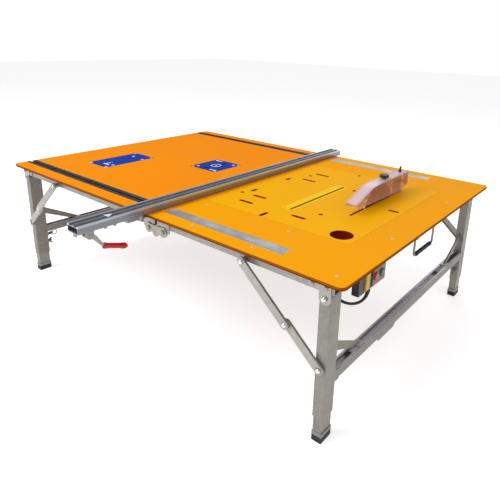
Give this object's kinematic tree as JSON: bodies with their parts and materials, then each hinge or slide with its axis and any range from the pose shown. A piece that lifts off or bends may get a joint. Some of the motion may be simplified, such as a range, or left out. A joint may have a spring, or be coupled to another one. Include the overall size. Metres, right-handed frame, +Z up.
{
  "type": "folding saw table",
  "caption": "Folding saw table with two hinged boards on folding, telescoping legs, a sliding fence, an undermounted saw with guard, T-tracks and a carry handle.",
  "frame": {"origin": "middle of the object's box, at floor level under the feet", "axes": "+X along the table from the left end to the saw end, +Y from the front edge to the back edge, +Z up"},
  "size_m": [1.3, 1.114, 0.469],
  "materials": {
    "orange_board": "orange film on plywood, satin",
    "saw_plate": "yellow-orange paint, satin",
    "frame_steel": "galvanised",
    "bright_steel": "zinc plated",
    "chrome": "chromed",
    "aluminium": "anodised",
    "track": "black anodised",
    "scale": "brushed, engraved",
    "blue_plate": "blue enamel",
    "black_rubber": "matt rubber",
    "black_plastic": "moulded",
    "grey_plastic": "moulded",
    "green_plastic": "moulded",
    "red_plastic": "moulded, glossy",
    "clear_pink": "tinted clear plastic",
    "saw_steel": "warm tinted blade steel",
    "motor": "dark coated housing"
  },
  "bodies": {
    "right_half": {"right_board": "orange_board", "saw_plate": "saw_plate", "throat_strip": "saw_plate", "right_scales": "scale", "right_frame": "frame_steel", "right_brackets": "bright_steel", "right_screws": "bright_steel", "switch_box": "grey_plastic", "switch_cable": "black_rubber", "saw_motor": "motor", "saw_mount": "frame_steel", "riving_knife": "frame_steel"},
    "start_button": {"start_button": "green_plastic"},
    "stop_button": {"stop_button": "red_plastic"},
    "carry_handle": {"handle_wire": "chrome", "handle_grip": "black_plastic"},
    "blade": {"saw_blade": "saw_steel"},
    "guard": {"blade_guard": "clear_pink", "guard_knob": "black_plastic"},
    "hinge_link": {"hinge_links": "bright_steel", "hinge_bolts": "bright_steel"},
    "left_half": {"left_board": "orange_board", "left_tracks": "track", "left_frame": "frame_steel", "left_brackets": "bright_steel", "long_plate": "blue_plate", "square_plate": "blue_plate", "plate_screws": "bright_steel"},
    "fence": {"fence_bar": "aluminium", "clamp_body": "frame_steel"},
    "clamp_lever": {"clamp_lever": "frame_steel", "clamp_grip": "red_plastic"},
    "right_leg_pair": {"right_legs": "frame_steel", "right_crossbar": "frame_steel"},
    "left_leg_pair": {"left_legs": "frame_steel", "left_crossbar": "frame_steel"},
    "right_upper_stay": {"right_upper_stays": "frame_steel"},
    "right_lower_stay": {"right_lower_stays": "frame_steel"},
    "left_upper_stay": {"left_upper_stays": "frame_steel"},
    "left_lower_stay": {"left_lower_stays": "frame_steel"},
    "front_right_inner_leg": {"front_right_tube": "bright_steel", "front_right_foot": "black_rubber"},
    "front_right_lock_pin": {"front_right_pin": "chrome"},
    "front_right_wing_screw": {"front_right_wing": "chrome"},
    "back_right_inner_leg": {"back_right_tube": "bright_steel", "back_right_foot": "black_rubber"},
    "back_right_lock_pin": {"back_right_pin": "chrome"},
    "back_right_wing_screw": {"back_right_wing": "chrome"},
    "front_left_inner_leg": {"front_left_tube": "bright_steel", "front_left_foot": "black_rubber"},
    "front_left_lock_pin": {"front_left_pin": "chrome"},
    "front_left_wing_screw": {"front_left_wing": "chrome"},
    "back_left_inner_leg": {"back_left_tube": "bright_steel", "back_left_foot": "black_rubber"},
    "back_left_lock_pin": {"back_left_pin": "chrome"},
    "back_left_wing_screw": {"back_left_wing": "chrome"}
  },
  "joints": [
    {"name": "fold_link", "type": "hinge", "parent": "right_half", "child": "hinge_link", "pos_m": [0.121, 0.08, 0.348], "axis": [0, -1, 0], "range_deg": [0, 90]},
    {"name": "fold_left", "type": "hinge", "parent": "hinge_link", "child": "left_half", "pos_m": [0.065, 0.08, 0.348], "axis": [0, -1, 0], "range_deg": [0, 90]},
    {"name": "right_legs_fold", "type": "hinge", "parent": "right_half", "child": "right_leg_pair", "pos_m": [0.6025, 0.08, 0.345], "axis": [0, 1, 0], "range_deg": [0, 90]},
    {"name": "left_legs_fold", "type": "hinge", "parent": "left_half", "child": "left_leg_pair", "pos_m": [-0.6025, 0.08, 0.345], "axis": [0, -1, 0], "range_deg": [0, 90]},
    {"name": "right_upper_stay_turn", "type": "hinge", "parent": "right_half", "child": "right_upper_stay", "pos_m": [0.3965, 0.08, 0.362], "axis": [0, -1, 0], "range_deg": [0, 20.39]},
    {"name": "right_lower_stay_turn", "type": "hinge", "parent": "right_leg_pair", "child": "right_lower_stay", "pos_m": [0.6025, 0.08, 0.185], "axis": [0, 1, 0], "range_deg": [0, 69.61]},
    {"name": "left_upper_stay_turn", "type": "hinge", "parent": "left_half", "child": "left_upper_stay", "pos_m": [-0.3965, 0.08, 0.362], "axis": [0, 1, 0], "range_deg": [0, 20.39]},
    {"name": "left_lower_stay_turn", "type": "hinge", "parent": "left_leg_pair", "child": "left_lower_stay", "pos_m": [-0.6025, 0.08, 0.185], "axis": [0, -1, 0], "range_deg": [0, 69.61]},
    {"name": "front_right_extend", "type": "slide", "parent": "right_leg_pair", "child": "front_right_inner_leg", "axis": [0, 0, -1], "range_m": [0, 0.1]},
    {"name": "front_right_pin_push", "type": "slide", "parent": "right_leg_pair", "child": "front_right_lock_pin", "axis": [0, -1, 0], "range_m": [0, 0.006]},
    {"name": "front_right_wing_turn", "type": "hinge", "parent": "right_leg_pair", "child": "front_right_wing_screw", "pos_m": [0.6025, -0.3117, 0.099], "axis": [0, 1, 0], "continuous": true},
    {"name": "back_right_extend", "type": "slide", "parent": "right_leg_pair", "child": "back_right_inner_leg", "axis": [0, 0, -1], "range_m": [0, 0.1]},
    {"name": "back_right_pin_push", "type": "slide", "parent": "right_leg_pair", "child": "back_right_lock_pin", "axis": [0, 1, 0], "range_m": [0, 0.006]},
    {"name": "back_right_wing_turn", "type": "hinge", "parent": "right_leg_pair", "child": "back_right_wing_screw", "pos_m": [0.6025, 0.4717, 0.099], "axis": [0, -1, 0], "continuous": true},
    {"name": "front_left_extend", "type": "slide", "parent": "left_leg_pair", "child": "front_left_inner_leg", "axis": [0, 0, -1], "range_m": [0, 0.1]},
    {"name": "front_left_pin_push", "type": "slide", "parent": "left_leg_pair", "child": "front_left_lock_pin", "axis": [0, -1, 0], "range_m": [0, 0.006]},
    {"name": "front_left_wing_turn", "type": "hinge", "parent": "left_leg_pair", "child": "front_left_wing_screw", "pos_m": [-0.6025, -0.3117, 0.099], "axis": [0, 1, 0], "continuous": true},
    {"name": "back_left_extend", "type": "slide", "parent": "left_leg_pair", "child": "back_left_inner_leg", "axis": [0, 0, -1], "range_m": [0, 0.1]},
    {"name": "back_left_pin_push", "type": "slide", "parent": "left_leg_pair", "child": "back_left_lock_pin", "axis": [0, 1, 0], "range_m": [0, 0.006]},
    {"name": "back_left_wing_turn", "type": "hinge", "parent": "left_leg_pair", "child": "back_left_wing_screw", "pos_m": [-0.6025, 0.4717, 0.099], "axis": [0, -1, 0], "continuous": true},
    {"name": "fence_slide", "type": "slide", "parent": "left_half", "child": "fence", "axis": [1, 0, 0], "range_m": [-0.64, 0.3]},
    {"name": "clamp_lever_turn", "type": "hinge", "parent": "fence", "child": "clamp_lever", "pos_m": [0.059, -0.521, 0.376], "axis": [-1, 0, 0], "range_deg": [0, 62]},
    {"name": "guard_lift", "type": "hinge", "parent": "right_half", "child": "guard", "pos_m": [0.462, 0.276, 0.424], "axis": [-1, 0, 0], "range_deg": [0, 60]},
    {"name": "blade_spin", "type": "hinge", "parent": "right_half", "child": "blade", "pos_m": [0.462, 0.133, 0.358], "axis": [1, 0, 0], "continuous": true},
    {"name": "handle_swing", "type": "hinge", "parent": "right_half", "child": "carry_handle", "pos_m": [0.63, 0.071, 0.366], "axis": [0, -1, 0], "range_deg": [0, 90]},
    {"name": "start_press", "type": "slide", "parent": "right_half", "child": "start_button", "axis": [-1, 0, 0], "range_m": [0, 0.003], "stiffness_N_per_m": 300, "springref_m": -0.003},
    {"name": "stop_press", "type": "slide", "parent": "right_half", "child": "stop_button", "axis": [-1, 0, 0], "range_m": [0, 0.003], "stiffness_N_per_m": 300, "springref_m": -0.003}
  ],
  "couplings": [
    {"joint": "right_upper_stay_turn", "follows": "right_legs_fold", "ratio": 0.22653},
    {"joint": "right_lower_stay_turn", "follows": "right_legs_fold", "ratio": 0.77347},
    {"joint": "left_upper_stay_turn", "follows": "left_legs_fold", "ratio": 0.22653},
    {"joint": "left_lower_stay_turn", "follows": "left_legs_fold", "ratio": 0.77347}
  ]
}
